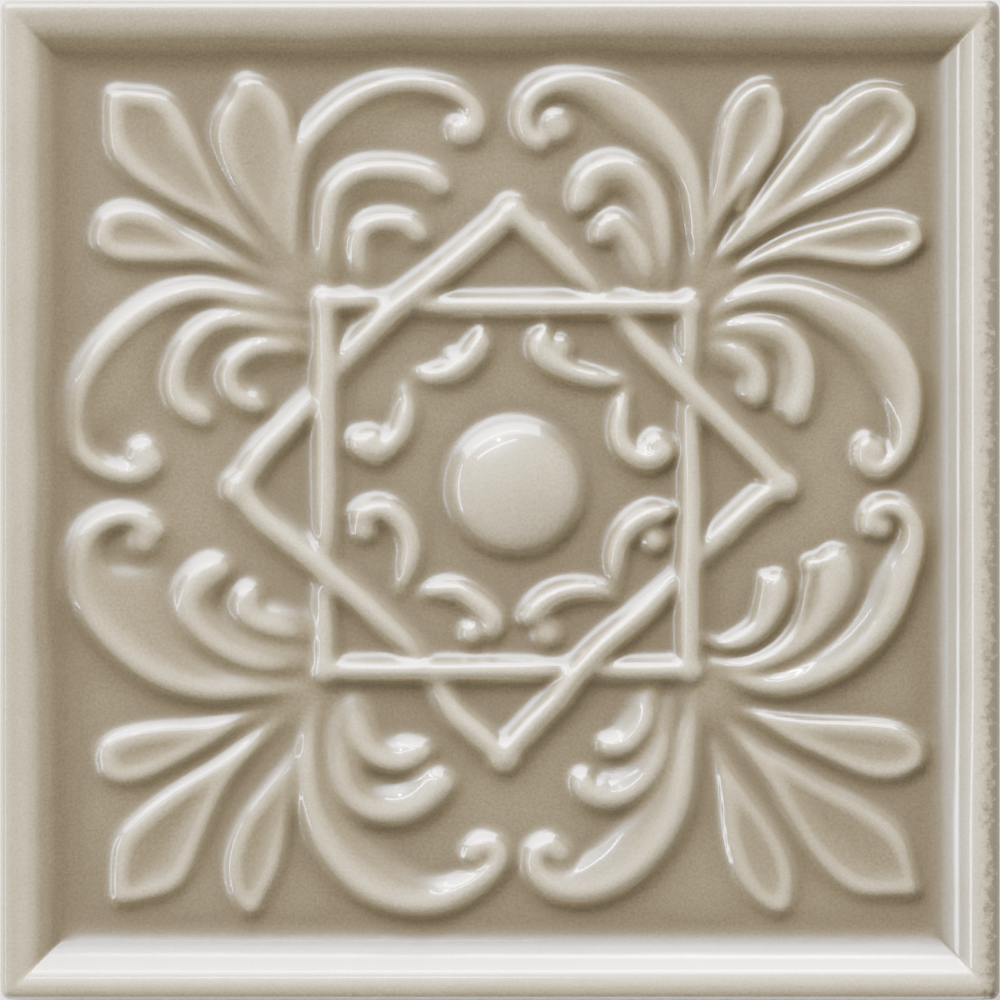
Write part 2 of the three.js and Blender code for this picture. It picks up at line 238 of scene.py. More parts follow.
# Sections of the leaves: the flank outside the crest, the roll of the crest, the share of the
# height at the root and the run over which it swells, the run of the tip, and the width of the
# web inside the crest where the crest's own points give none
SCROLL = {"height": 2.2 * MM, "flank": 2.9 * MM, "roll": 1.7 * MM,
          "root": 0.32, "swell": 16 * MM, "tip": 1.5 * MM}
OUTER_LOBE = {"height": 2.2 * MM, "flank": 2.7 * MM, "roll": 1.6 * MM,
              "root": 0.3, "swell": 13 * MM, "tip": 3.0 * MM, "web": 5.4 * MM}
INNER_LOBE = {"height": 2.1 * MM, "flank": 2.5 * MM, "roll": 1.5 * MM,
              "root": 0.3, "swell": 8 * MM, "tip": 2.6 * MM, "web": 4.6 * MM}

# The small curls, and their width and height along the run, as shares of the full ones
CURL = {"height": 2.6 * MM, "half": 2.45 * MM, "shift": 1.25 * MM}
CURL_WIDTHS = ((0, 0.2, 0.6, 0.88, 0.96, 1.0), (0.5, 0.85, 1.05, 1.1, 0.85, 0.4))
CURL_HEIGHTS = ((0, 0.2, 0.6, 0.92, 1.0), (0.35, 0.85, 1.0, 0.95, 0.55))

# Petals: their heights, the raised rim, the glaze's share of the half width, the least width,
# and the share of the height at the root and the run over which it swells
PETAL = {"height": 2.1 * MM, "bottom_height": 1.7 * MM, "rim": 1.5 * MM, "glaze": 0.25 * MM,
         "least": 0.4 * MM, "root": 0.45, "swell": 13 * MM}

# Powers of the bell-shaped sections: the lower the power, the fuller the form
CURL_POWER, SWELLING_POWER, BAR_POWER = 0.75, 0.7, 0.75

# How each corner's leaves fall inside their crests: the share of the height that the roll of
# the crest takes, and how full the slope below it is (1 is straight, and more is rounder)
SCROLL_FALLS = {"top_left": (0.5, 1.0), "top_right": (0.1, 2.5),
                "bottom_left": (0.08, 1.7), "bottom_right": (0.12, 2.6)}
LOBE_FALLS = {"top_left": (0.42, 1.3), "top_right": (0.12, 1.9),
              "bottom_left": (0.04, 2.0), "bottom_right": (0.2, 1.6)}

# Buttons in the curls: across, down, radius and height in mm
EYES = [
    (462, 130, 2.4, 2.8), (143, 455, 2.6, 2.4), (556, 125, 3.0, 2.2), (876, 452, 2.0, 2.6),
    (143, 541, 2.6, 1.8), (473, 855, 2.0, 2.2), (560, 855, 2.2, 2.2), (881, 527, 2.2, 2.2),
    (452, 356, 1.0, 2.4), (370, 441, 2.2, 3.2), (560, 348, 2.2, 2.2), (656, 445, 2.2, 2.6),
    (812, 565, 1.3, 3.1), (826, 562, 1.4, 3.6), (838, 576, 1.5, 3.5), (364, 530, 2.2, 2.2),
    (472, 634, 2.0, 2.2), (547, 634, 2.6, 1.8), (655, 541, 2.2, 2.2),
]

# Sides of the woven square and diamond: across, down, and the crest's height in mm,
# which rises where one bar crosses over the other and falls where it dips under
WOVEN_BARS = {
    "square_top": [(325, 302, 2.3), (360, 301, 2.0), (395, 303, 1.4), (435, 305, 2.1),
                   (520, 305, 2.5), (610, 305, 3.1), (650, 305, 2.7), (690, 306, 2.3)],
    "square_right": [(690, 306, 2.3), (690, 348, 2.1), (691, 390, 1.4), (691, 432, 2.1),
                     (692, 510, 2.5), (690, 570, 3.1), (690, 620, 2.7), (690, 670, 2.3)],
    "square_bottom": [(690, 670, 2.3), (630, 671, 2.1), (579, 671, 1.4), (535, 671, 2.1),
                      (480, 671, 2.5), (426, 671, 3.1), (370, 671, 2.7), (325, 671, 2.3)],
    "square_left": [(325, 671, 2.3), (324, 620, 2.1), (325, 573, 1.4), (326, 530, 2.1),
                    (326, 450, 2.5), (325, 388, 3.1), (325, 345, 2.7), (325, 302, 2.3)],
    "diamond_upper_left": [(512, 212, 2.5), (446, 268, 2.7), (395, 308, 3.1), (352, 352, 2.3),
                           (326, 386, 1.4), (298, 417, 2.2), (262, 453, 2.5), (238, 489, 2.5)],
    "diamond_lower_left": [(238, 489, 2.5), (260, 517, 2.5), (298, 548, 2.8), (325, 571, 3.1),
                           (364, 605, 2.6), (402, 640, 2.1), (426, 666, 1.4), (456, 715, 2.3),
                           (479, 735, 2.5), (504, 757, 2.6)],
    "diamond_lower_right": [(504, 757, 2.6), (529, 729, 2.5), (556, 702, 2.7), (579, 672, 3.1),
                            (604, 646, 2.8), (640, 616, 2.2), (690, 569, 1.4), (725, 533, 2.2),
                            (764, 497, 2.5), (783, 486, 2.6)],
    "diamond_upper_right": [(783, 486, 2.6), (762, 461, 2.6), (729, 428, 2.8), (691, 390, 3.1),
                            (652, 351, 2.6), (610, 303, 1.4), (579, 273, 2.3), (548, 242, 2.6),
                            (512, 212, 2.5)],
}
BAR_HALVES = {"square": 2.35 * MM, "diamond": 2.55 * MM}

# The middle boss, a little right of the tile's middle and above it
BOSS_PLACE = (516, 488)
BOSS_RADIUS, BOSS_HEIGHT = 10.6 * MM, 4.1 * MM

# Two lobes that end in soft knobs: across, down, the width in pixels and the height in mm
SWELLINGS = [
    [(706, 664, 14, 0.9), (745, 668, 24, 1.6), (790, 652, 42, 2.0), (822, 620, 60, 2.1),
     (836, 588, 68, 2.4), (834, 560, 58, 2.5), (828, 546, 44, 2.2)],
    [(702, 636, 12, 0.9), (722, 646, 18, 1.4), (750, 640, 28, 1.9), (772, 616, 36, 2.0),
     (779, 590, 40, 2.3), (774, 570, 34, 2.3)],
]
SWELLING_TIP, SWELLING_POINT = 3 * MM, 0.2

# Low mounds where the leaves of each corner spring, across and down
ROOT_MOUNDS = ((298, 280), (710, 282), (304, 696), (710, 694))
MOUND_RADIUS, MOUND_HEIGHT = 9 * MM, 0.9 * MM

# The border from its crest to the panel: insets, and how steep it falls at each. It falls
# from a broad crest in two waves.
CREST_INSET = 1.9 * MM
BORDER_WAVES = ((CREST_INSET, 4.6 * MM, 7.0 * MM, 8.8 * MM, BORDER_WIDTH),
                (0.05, 1.0, 0.6, 0.95, 0.7))
BORDER_STEPS = 14

# The roll of the crest over the side, as insets and drops, and the side's foot, as insets and
# heights above the back
CREST_ROLL = ((1.15 * MM, 0.07 * MM), (0.55 * MM, 0.36 * MM), (0.16 * MM, 0.85 * MM),
              (0.0, 1.6 * MM))
SIDE_FOOT = ((0.0, 0.6 * MM), (0.18 * MM, 0.18 * MM), (0.6 * MM, 0.0))
UPRIGHT_RADIUS = 1.4 * MM

# Recesses in the back
KEY_CORNER, KEY_DEPTH = 2.0 * MM, 0.8 * MM

# The grid that is pressed over the die: its cells each way, how far above the crest it starts,
# and how steep it may rise from its foot on the border
PRESS_CELLS, PRESS_START, FOOT_SLOPE = 270, 10 * MM, 4.0

# Where the glaze rounds the relief: inside the border's crest and above the sides, more below
# a line across the panel, and at the border's foot
MELT_INSET, MELT_LEVEL = 2.2 * MM, 0.7
LOW_START, LOW_RUN, LOW_SHARE = 28 * MM, 20 * MM, 0.8
FOOT_RUN, FOOT_RIGHT_SHARE = 2 * MM, 0.3

# How far below the height around it the face lies where the glaze is full deep: in creases,
# and in wide hollows. There the colour is full dark, partly pooled glaze and partly painted shade.
CREASE_DEPTH, HOLLOW_DEPTH = 0.6 * MM, 1.2 * MM

# Lamps: place, width, height, power in watts, and whether the glaze mirrors them
LAMPS = {
    "key": ((-0.45, 0.6, 0.95), 1.2, 0.75, 27.0, False),
    "window": ((-0.3, 1.0, 0.42), 1.7, 0.6, 70.0, True),
    "tube_high": ((-0.35, 0.72, 0.87), 0.8, 0.03, 8.0, True),
    "tube_low": ((-0.35, 0.95, 0.6), 1.0, 0.03, 9.0, True),
    "fill_left": ((-1.05, 0.1, 0.45), 1.2, 0.8, 14.0, False),
    "fill_right": ((1.05, 0.1, 0.45), 1.2, 0.8, 24.0, False),
    "strip_left": ((-0.9, 0.0, 0.5), 0.8, 0.04, 4.0, True),
    "spark": ((-0.28, 0.8, 0.72), 0.05, 0.05, 3.0, True),
}
SKY_COLOUR, SKY_STRENGTH = "#E8E4DC", 0.42
FLOOR_SIZE, FLOOR_GAP = 3.0, 0.2 * MM
CAMERA_HEIGHT = 1.6


def on_tile(across, down, side):
    """A place on the tile from a place in the photograph."""
    scale = side / PIXELS_ACROSS
    return (across - PIXELS_ACROSS / 2) * scale, (PIXELS_ACROSS / 2 - down) * scale


def eased(rows, passes):
    """The rows with each one drawn towards its neighbours, and the ends in line with them."""
    for _ in range(passes):
        rows[1:-1] = (rows[:-2] + 2 * rows[1:-1] + rows[2:]) / 4
        rows[0] = 2 * rows[1] - rows[2]
        rows[-1] = 2 * rows[-2] - rows[-3]
    return rows


def smooth_line(stations, count):
    """Rows of a smooth line through the stations, and its directions, as two arrays."""
    marks = np.array(stations, dtype=float)
    steps = np.sqrt(np.linalg.norm(np.diff(marks[:, :2], axis=0), axis=1))
    knots = np.concatenate([[0.0], np.cumsum(steps)])
    slopes = np.gradient(marks, knots, axis=0)
    places = np.linspace(0.0, knots[-1], count)
    spans = np.clip(np.searchsorted(knots, places, side="right") - 1, 0, len(knots) - 2)
    length = (knots[spans + 1] - knots[spans])[:, None]
    t = (places - knots[spans])[:, None] / length
    start, end = marks[spans], marks[spans + 1]
    start_slope, end_slope = slopes[spans] * length, slopes[spans + 1] * length
    line = ((2 * t**3 - 3 * t**2 + 1) * start + (t**3 - 2 * t**2 + t) * start_slope
            + (-2 * t**3 + 3 * t**2) * end + (t**3 - t**2) * end_slope)
    line_passes, heading_passes = 8, 24
    line = eased(line, line_passes)
    heading = eased(np.gradient(line[:, :2], axis=0), heading_passes)
    heading /= np.linalg.norm(heading, axis=1)[:, None]
    return line, heading


def deselect_all():
    if bpy.context.object and bpy.context.object.mode != "OBJECT":
        bpy.ops.object.mode_set(mode="OBJECT")
    bpy.ops.object.select_all(action="DESELECT")


def new_grid(name, columns, rows):
    """A flat grid whose vertices the caller then moves."""
    deselect_all()
    bpy.ops.mesh.primitive_grid_add(x_subdivisions=columns, y_subdivisions=rows, size=1.0)
    piece = bpy.context.object
    piece.name = name
    return piece


def vertex_places(piece):
    places = np.empty(len(piece.data.vertices) * 3)
    piece.data.vertices.foreach_get("co", places)
    return places.reshape(-1, 3)


def set_places(piece, places):
    piece.data.vertices.foreach_set("co", np.ascontiguousarray(places, dtype=np.float32).ravel())
    piece.data.update()


def swept(name, line, heading, offset, rise):
    """A strip of the die: a grid whose rows follow a line, with offsets across it."""
    rows, columns = offset.shape
    piece = new_grid(name, columns - 1, rows - 1)
    x = line[:, 0][:, None] - heading[:, 1][:, None] * offset
    y = line[:, 1][:, None] + heading[:, 0][:, None] * offset
    z = PANEL_GROUND - ROOT_DEPTH + rise
    set_places(piece, np.column_stack([x.ravel(), y.ravel(), z.ravel()]))
    return piece


def inner_side(line, heading, centre):
    """+1 where the place lies left of the line, as one walks it, and -1 where it lies right."""
    middle = len(line) // 2
    to_centre = np.array(centre) - line[middle, :2]
    cross = heading[middle, 0] * to_centre[1] - heading[middle, 1] * to_centre[0]
    return 1.0 if cross > 0 else -1.0


def bell(share):
    """1 at 0 and 0 at 1, level at both."""
    return 0.5 + 0.5 * np.cos(math.pi * share)


def run_along(line):
    """How far each row lies from the start of the line."""
    return np.cumsum(np.linalg.norm(np.diff(line[:, :2], axis=0, prepend=line[:1, :2]), axis=1))


def swell(run, reach):
    """From 0 at the start to 1 past the reach, and fastest at first."""
    return np.sin(np.clip(run / reach, 0, 1) * math.pi / 2)


def rounded_tip(run, reach):
    """1 along the line, and down to 0 over its last reach as a quarter of an ellipse."""
    return np.sqrt(1 - (1 - np.clip((run[-1] - run) / reach, 0, 1))**2)


def crested(name, crest, side, shape, fall):
    """A leaf of the die: a steep flank outside its crest, and inside it a long easy slope."""
    rows, columns = 110, 34
    flank_part, crowding, flank_power, point = 0.45, 1.25, 0.9, 0.45
    marks = [(*on_tile(p[0], p[1], side), shape["web"] if "web" in shape else p[2] * MM)
             for p in crest]
    line, heading = smooth_line(marks, rows)
    inward = inner_side(line, heading, (line[0, :2] + line[-1, :2]) / 2)
    slope = np.maximum(line[:, 2], shape["roll"])[:, None]
    across = np.linspace(-flank_part, 1.0, columns)[None, :]
    outer = swell(-across, flank_part)
    inner = np.clip(across, 0, 1)**crowding
    offset = SHOULDER + np.where(across < 0, -outer * shape["flank"], inner * slope)
    roll = np.sqrt(np.clip(1 - (inner * slope / shape["roll"])**2, 0, 1))
    share, fullness = fall
    drop = share * roll + (1 - share) * (1 - inner**fullness)
    rise = np.where(across < 0, bell(outer**flank_power), drop)
    run = run_along(line)
    root = shape["root"] + (1 - shape["root"]) * swell(run, shape["swell"])
    tip = rounded_tip(run, shape["tip"])
    lift = (shape["height"] + ROOT_DEPTH) * (root * tip)[:, None]
    narrow = (point + (1 - point) * tip)[:, None]
    return swept(name, line, heading, offset * narrow * inward, rise * lift)


def curl(name, crest, side):
    """A small curl of the die: a soft round strip that swells along its middle."""
    rows, columns = 90, 25
    line, heading = smooth_line([on_tile(*p, side) for p in crest], rows)
    inward = inner_side(line, heading, (line[0, :2] + line[-1, :2]) / 2)
    run = np.linspace(0.0, 1.0, rows)[:, None]
    half = CURL["half"] * np.interp(run, *CURL_WIDTHS)
    across = np.linspace(-1.0, 1.0, columns)[None, :]
    rise = bell(across)**CURL_POWER * np.interp(run, *CURL_HEIGHTS)
    offset = (across * half + half - CURL["shift"]) * inward
    return swept(name, line, heading, offset, rise * (CURL["height"] + ROOT_DEPTH))


def petal(name, spine, side, height, dish):
    """A petal of the die: a thin raised rim all round a shallow dish."""
    rows, columns = 80, 41
    scale = side / PIXELS_ACROSS
    marks = [(*on_tile(p[0], p[1], side), p[2] * scale) for p in spine]
    line, heading = smooth_line(marks, rows)
    across = np.sin(np.linspace(-math.pi / 2, math.pi / 2, columns))[None, :]
    half = np.maximum(line[:, 2], PETAL["least"])[:, None] / 2 + PETAL["glaze"]
    rim = PETAL["rim"]
    run = run_along(line)
    from_edge = np.minimum(half * (1 - np.abs(across)), (run[-1] - run)[:, None])
    rise = 1 - bell(np.clip(from_edge / rim, 0, 1))
    sunk = np.clip((from_edge - rim) / (half.max() - rim), 0, 1)
    floor = 1 - dish * (1 - (1 - sunk)**2)
    lift = PETAL["root"] + (1 - PETAL["root"]) * swell(run, PETAL["swell"])[:, None]
    return swept(name, line, heading, across * half, rise * floor * lift * (height + ROOT_DEPTH))


def swelling(name, spine, side):
    """A broad soft body of the die, bell-shaped across."""
    rows, columns = 60, 25
    scale = side / PIXELS_ACROSS
    marks = [(*on_tile(p[0], p[1], side), p[2] * scale / 2, p[3] * MM) for p in spine]
    line, heading = smooth_line(marks, rows)
    across = np.linspace(-1.0, 1.0, columns)[None, :]
    tip = rounded_tip(run_along(line), SWELLING_TIP)
    rise = bell(across)**SWELLING_POWER * (line[:, 3] * tip)[:, None]
    narrow = (SWELLING_POINT + (1 - SWELLING_POINT) * tip)[:, None]
    return swept(name, line, heading, across * line[:, 2:3] * narrow, rise + ROOT_DEPTH)


def woven_bar(name, stations, side, half):
    """A bar of the weave or a vein, bell-shaped across."""
    rows, columns = 140, 15
    marks = [(*on_tile(p[0], p[1], side), p[2] * MM) for p in stations]
    line, heading = smooth_line(marks, rows)
    across = -np.cos(np.linspace(0.0, math.pi, columns))[None, :]
    offset = across * half + 0 * line[:, :1]
    rise = np.clip(bell(across), 0.0, 1.0)**BAR_POWER * line[:, 2][:, None]
    return swept(name, line, heading, offset, rise + ROOT_DEPTH * (rise > 0))


def dome(name, place, radius, height, side):
    """A low round button of the die."""
    deselect_all()
    bpy.ops.mesh.primitive_uv_sphere_add(segments=32, ring_count=24, radius=1.0)
    piece = bpy.context.object
    piece.name = name
    x, y = on_tile(*place, side)
    set_places(piece, vertex_places(piece) * (radius, radius, height) + (x, y, PANEL_GROUND))
    return piece


def mound(name, place, radius, height, side):
    """A bell-shaped swelling of the die."""
    rings, turns = 24, 48
    piece = new_grid(name, turns, rings)
    angle = np.linspace(0.0, 2 * math.pi, turns + 1)[None, :]
    out = np.linspace(1.0, 0.0, rings + 1)[:, None] + 0 * angle
    x, y = on_tile(*place, side)
    z = PANEL_GROUND - ROOT_DEPTH / 2 + height * bell(out)
    set_places(piece, np.column_stack([(x + radius * out * np.cos(angle)).ravel(),
                                       (y + radius * out * np.sin(angle)).ravel(), z.ravel()]))
    return piece


def boss(name, side):
    """The middle boss: a round side and a gently crowned top."""
    rings, turns = 36, 96
    crowding, crown_power, side_power = 1.4, 1.8, 0.62
    crown = 1.0 - np.linspace(0.0, 1.0, rings + 1)**crowding
    out = BOSS_RADIUS * crown
    rise = BOSS_HEIGHT * (1 - crown**crown_power)**side_power
    piece = new_grid(name, turns, rings)
    angle = np.linspace(0.0, 2 * math.pi, turns + 1)
    x, y = on_tile(*BOSS_PLACE, side)
    x = x + out[:, None] * np.cos(angle)[None, :]
    y = y + out[:, None] * np.sin(angle)[None, :]
    z = PANEL_GROUND - ROOT_DEPTH + (rise + ROOT_DEPTH)[:, None] + 0 * x
    set_places(piece, np.column_stack([x.ravel(), y.ravel(), z.ravel()]))
    return piece


def panel_floor(name, side):
    """The sunk ground of the panel, a little wider than the panel."""
    cells = 40
    piece = new_grid(name, cells, cells)
    places = vertex_places(piece) * (side, side, 1.0)
    places[:, 2] = PANEL_GROUND
    set_places(piece, places)
    return piece


def relief_die(side):
    """All the forms that the panel is pressed over, joined in one mesh."""
    pieces = [panel_floor("die_floor", side), boss("die_boss", side)]
    families = ((SCROLL_CRESTS, SCROLL, SCROLL_FALLS), (OUTER_LOBE_CRESTS, OUTER_LOBE, LOBE_FALLS),
                (INNER_LOBE_CRESTS, INNER_LOBE, LOBE_FALLS))
    for crests, shape, falls in families:
        for place, crest in crests.items():
            corner = place.rsplit("_", 1)[0]
            pieces.append(crested("die_leaf", crest, side, shape, falls[corner]))
    pieces += [curl("die_curl", crest, side) for crest in CURL_CRESTS.values()]
    pieces += [swelling("die_swelling", spine, side) for spine in SWELLINGS]
    for place, spine in PETALS.items():
        height = PETAL["bottom_height" if place.startswith("bottom") else "height"]
        pieces.append(petal("die_petal", spine, side, height, DISHES[place]))
    for vein in VEINS:
        stations = [(across, down, height * STANDING_SHARE) for across, down, height in vein]
        pieces.append(woven_bar("die_vein", stations, side, VEIN_HALF))
    for across, down, radius, height in EYES:
        standing = height * STANDING_SHARE * MM
        pieces.append(dome("die_eye", (across, down), radius * MM, standing, side))
    for place in ROOT_MOUNDS:
        pieces.append(mound("die_mound", place, MOUND_RADIUS, MOUND_HEIGHT, side))
    for name, stations in WOVEN_BARS.items():
        half = BAR_HALVES[name.split("_")[0]]
        pieces.append(woven_bar("die_bar", stations, side, half))
        across, down, height = stations[0]
        pieces.append(dome("die_joint", (across, down), half, height * MM, side))
    deselect_all()
    for piece in pieces:
        piece.select_set(True)
    bpy.context.view_layer.objects.active = pieces[0]
    bpy.ops.object.join()
    die = bpy.context.object
    die.name = "relief_die"
    return die


def border_profile(top):
    """Pairs of inset from the tile's side and height, from the panel out and down to the back."""
    insets = np.linspace(CREST_INSET, BORDER_WIDTH, BORDER_STEPS + 1)
    steepness = np.interp(insets, *BORDER_WAVES)
    drops = np.concatenate([[0.0], np.cumsum(steepness[1:] + steepness[:-1])])
    drops *= (top - PANEL_GROUND) / drops[-1]
    profile = [(insets[i], top - drops[i]) for i in range(BORDER_STEPS - 1, -1, -1)]
    return profile + [(inset, top - drop) for inset, drop in CREST_ROLL] + list(SIDE_FOOT)


def select_open_edges(wire=False):
    """In edit mode, the edges with one face, and those with none if wire is true."""
    bpy.ops.mesh.select_mode(type="EDGE")
    bpy.ops.mesh.select_all(action="DESELECT")
    bpy.ops.mesh.select_non_manifold(extend=False, use_wire=wire, use_boundary=True,
                                     use_multi_face=False, use_non_contiguous=False,
                                     use_verts=False)


def back_keys(side):
    """Middles of the square recesses that key the back to its bed, and their size."""
    rows, margin, land = 3, 9.0 * MM, 8.0 * MM
    size = (side - 2 * margin - (rows - 1) * land) / rows
    step = size + land
    middles = [(i - (rows - 1) / 2) * step for i in range(rows)]
    return [(x, y) for x in middles for y in middles], size


def close_back(side):
    """In edit mode, the back: a flat land round nine sunk keys with cut corners."""
    places, size = back_keys(side)
    for x, y in places:
        bpy.ops.mesh.select_all(action="DESELECT")
        bpy.ops.mesh.primitive_plane_add(size=size, location=(x, y, 0.0))
        bpy.ops.mesh.select_mode(type="VERT")
        bpy.ops.mesh.bevel(offset=KEY_CORNER, segments=3, affect="VERTICES")
        bpy.ops.mesh.select_mode(type="FACE")
        bpy.ops.mesh.delete(type="ONLY_FACE")
    select_open_edges(wire=True)
    bpy.ops.mesh.fill(use_beauty=False)
    select_open_edges()
    bpy.ops.mesh.extrude_edges_move()
    bpy.ops.transform.translate(value=(0, 0, KEY_DEPTH))
    bpy.ops.mesh.fill_holes(sides=0)


def round_corners(places, side, radius):
    """Ease each square ring near the tile's upright edges onto a round one."""
    middle = side / 2 - radius
    out = np.maximum(np.abs(places[:, :2]) - middle, 0.0)
    near = (out.min(axis=1) > 0)
    scale = out[near].max(axis=1) / np.linalg.norm(out[near], axis=1)
    places[near, :2] = (np.sign(places[near, :2])
                        * (middle + out[near] * scale[:, None]))


def square_reach(places):
    """Half the side of the square ring that each place lies on."""
    return np.abs(places[:, :2]).max(axis=1)


def neighbour_mean(values, edges, degree):
    total = (np.bincount(edges[:, 0], values[edges[:, 1]], len(values))
             + np.bincount(edges[:, 1], values[edges[:, 0]], len(values)))
    return total / degree


def pressed_panel(die, panel_reach, top):
    """A fine grid pressed over the die."""
    tile = new_grid("pressed_tile", PRESS_CELLS, PRESS_CELLS)
    places = vertex_places(tile) * (2 * panel_reach, 2 * panel_reach, 1.0)
    places[:, 2] = top + PRESS_START
    set_places(tile, places)
    press = tile.modifiers.new("press", "SHRINKWRAP")
    press.target = die
    press.wrap_method = "PROJECT"
    press.use_project_z = True
    press.use_negative_direction = True
    press.use_positive_direction = False
    bpy.ops.object.modifier_apply(modifier=press.name)
    places = vertex_places(tile)
    from_foot = panel_reach - square_reach(places)
    places[:, 2] = np.minimum(places[:, 2], PANEL_GROUND + FOOT_SLOPE * from_foot)
    set_places(tile, places)
    return tile


def draw_out_border(panel_reach, side, top):
    """The border, the sides and the back, drawn out of the panel's edge."""
    bpy.ops.object.mode_set(mode="EDIT")
    select_open_edges()
    reach, height = panel_reach, PANEL_GROUND
    for inset, level in border_profile(top):
        new_reach = side / 2 - inset
        scale = new_reach / reach
        bpy.ops.mesh.extrude_edges_move()
        bpy.ops.transform.resize(value=(scale, scale, 1.0), center_override=(0, 0, 0))
        bpy.ops.transform.translate(value=(0, 0, level - height))
        reach, height = new_reach, level
    close_back(side)
    bpy.ops.mesh.select_all(action="SELECT")
    bpy.ops.mesh.normals_make_consistent(inside=False)
    bpy.ops.object.mode_set(mode="OBJECT")


def melt(places, inside, edges, degree, panel_reach, side):
    """Round the heights as the glaze does, step by step."""
    leaning = 0.5 - places[:, 0] / side
    low = np.clip((-places[:, 1] - LOW_START) / LOW_RUN, 0, 1)
    wanted = LEAST_MELT + (MOST_MELT - LEAST_MELT) * np.maximum(leaning, LOW_SHARE * low)
    foot_gap = np.abs(square_reach(places) - panel_reach)
    foot_share = FOOT_RIGHT_SHARE + (1 - FOOT_RIGHT_SHARE) * leaning
    wanted += FOOT_MELT * foot_share * np.clip(1.5 - foot_gap / FOOT_RUN, 0, 1)
    for step in range(MOST_MELT + FOOT_MELT):
        soft = inside & (wanted > step)
        mean = neighbour_mean(places[:, 2], edges, degree)
        places[soft, 2] += 0.5 * (mean - places[:, 2])[soft]


def glaze_depth_and_painted_light(places, inside, edges, degree, panel_reach):
    """How deep the glaze lies, from -1 on sharp ridges to 1 in deep hollows. Besides the real
    pooling, it paints shade in the creases and hollows and light on the ridges and on the border's
    slopes.
    """
    around, levels = places[:, 2].copy(), []
    for step in range(max(POOL_STEPS)):
        around[inside] = neighbour_mean(around, edges, degree)[inside]
        if step + 1 in POOL_STEPS:
            levels.append(around.copy())
    fine, wide = levels
    crease = np.clip((fine - places[:, 2]) / CREASE_DEPTH, -1, 1)
    sunk = np.clip((wide - places[:, 2]) / HOLLOW_DEPTH, -1, 1)
    on_border = np.clip((square_reach(places) - panel_reach) / (2 * MM), 0, 1)
    raised = np.clip((places[:, 2] - PANEL_GROUND) / (2 * MM), 0, 1)
    # Dark in creases and hollows is partly pooled glaze and partly painted shade; pale on the
    # ridges and the raised border is partly thin glaze and partly painted light
    level, by_crease, by_hollow, by_ridge, by_border = 0.3, 0.4, 0.7, 0.45, 0.5
    depth_and_painted_light = (level + by_crease * crease + np.where(sunk > 0, by_hollow, by_ridge) * sunk
             - by_border * on_border * raised)
    return np.clip(depth_and_painted_light, -1, 1)


def pressed_tile(die, side, top):
    """The tile: the pressed panel with its border, sides and back, rounded by its glaze."""
    panel_reach = side / 2 - BORDER_WIDTH
    tile = pressed_panel(die, panel_reach, top)
    draw_out_border(panel_reach, side, top)
    places = vertex_places(tile)
    edges = np.empty(len(tile.data.edges) * 2, dtype=int)
    tile.data.edges.foreach_get("vertices", edges)
    edges = edges.reshape(-1, 2)
    degree = np.bincount(edges.ravel(), minlength=len(places))
    inside = ((square_reach(places) < side / 2 - MELT_INSET)
              & (places[:, 2] > MELT_LEVEL * PANEL_GROUND))
    melt(places, inside, edges, degree, panel_reach, side)
    round_corners(places, side, UPRIGHT_RADIUS)
    set_places(tile, places)
    # The glaze depth, which the colour uses both as pooled glaze and as painted shade in hollows
    # and painted light on ridges
    pool_and_shade_layer = tile.data.attributes.new("pooling_and_painted_light", "FLOAT", "POINT")
    pool_and_shade_layer.data.foreach_set("value", glaze_depth_and_painted_light(places, inside, edges, degree, panel_reach))
    bpy.ops.object.shade_smooth_by_angle(angle=math.radians(60))
    return tile


# Materials

def linear(code):
    """A linear colour with alpha from an sRGB hex code."""
    channels = [int(code[i:i + 2], 16) / 255 for i in (1, 3, 5)]
    spread = [c / 12.92 if c <= 0.04045 else ((c + 0.055) / 1.055)**2.4 for c in channels]
    return (*spread, 1.0)


def add_node(tree, kind, settings=None, **links):
    """A node with its settings, and its sockets linked or set by name."""
    node = tree.nodes.new(kind)
    for name, value in (settings or {}).items():
        setattr(node, name, value)
    for name, value in links.items():
        socket = node.inputs[name.replace("_", " ")]
        if isinstance(value, bpy.types.NodeSocket):
            tree.links.new(value, socket)
        else:
            socket.default_value = value
    return node


def new_material(name):
    material = bpy.data.materials.new(name)
    material.use_nodes = True
    tree = material.node_tree
    tree.nodes.clear()
    return material, tree


def mixed(tree, factor, low, high):
    """A colour between two: each a hex code or another node's colour."""
    mix = add_node(tree, "ShaderNodeMix", {"data_type": "RGBA"}, Factor=factor)
    for socket, value in ((mix.inputs[6], low), (mix.inputs[7], high)):
        if isinstance(value, str):
            socket.default_value = linear(value)
        else:
            tree.links.new(value, socket)
    return mix.outputs[2]


def ramp(tree, value, start, end, low=0.0, high=1.0):
    """A value taken from one range to another, and held at its ends."""
    node = add_node(tree, "ShaderNodeMapRange", Value=value, From_Min=start, From_Max=end,
                    To_Min=low, To_Max=high)
    return node.outputs["Result"]


def product(tree, first, second):
    """Two values multiplied."""
    node = add_node(tree, "ShaderNodeMath", {"operation": "MULTIPLY"})
    tree.links.new(first, node.inputs[0])
    tree.links.new(second, node.inputs[1])
    return node.outputs[0]


def noise(tree, coordinates, scale, detail, roughness=0.5):
    return add_node(tree, "ShaderNodeTexNoise", Vector=coordinates, Scale=scale, Detail=detail,
                    Roughness=roughness).outputs["Fac"]


def swayed(tree, value, by, amount):
    """A value with a share of a noise added."""
    node = add_node(tree, "ShaderNodeMath", {"operation": "MULTIPLY_ADD"})
    tree.links.new(by, node.inputs[0])
    node.inputs[1].default_value = amount
    tree.links.new(value, node.inputs[2])
    return node.outputs[0]


def show(tree, shader):
    """Give the shader to the material's surface."""
    output = add_node(tree, "ShaderNodeOutputMaterial")
    tree.links.new(shader, output.inputs["Surface"])


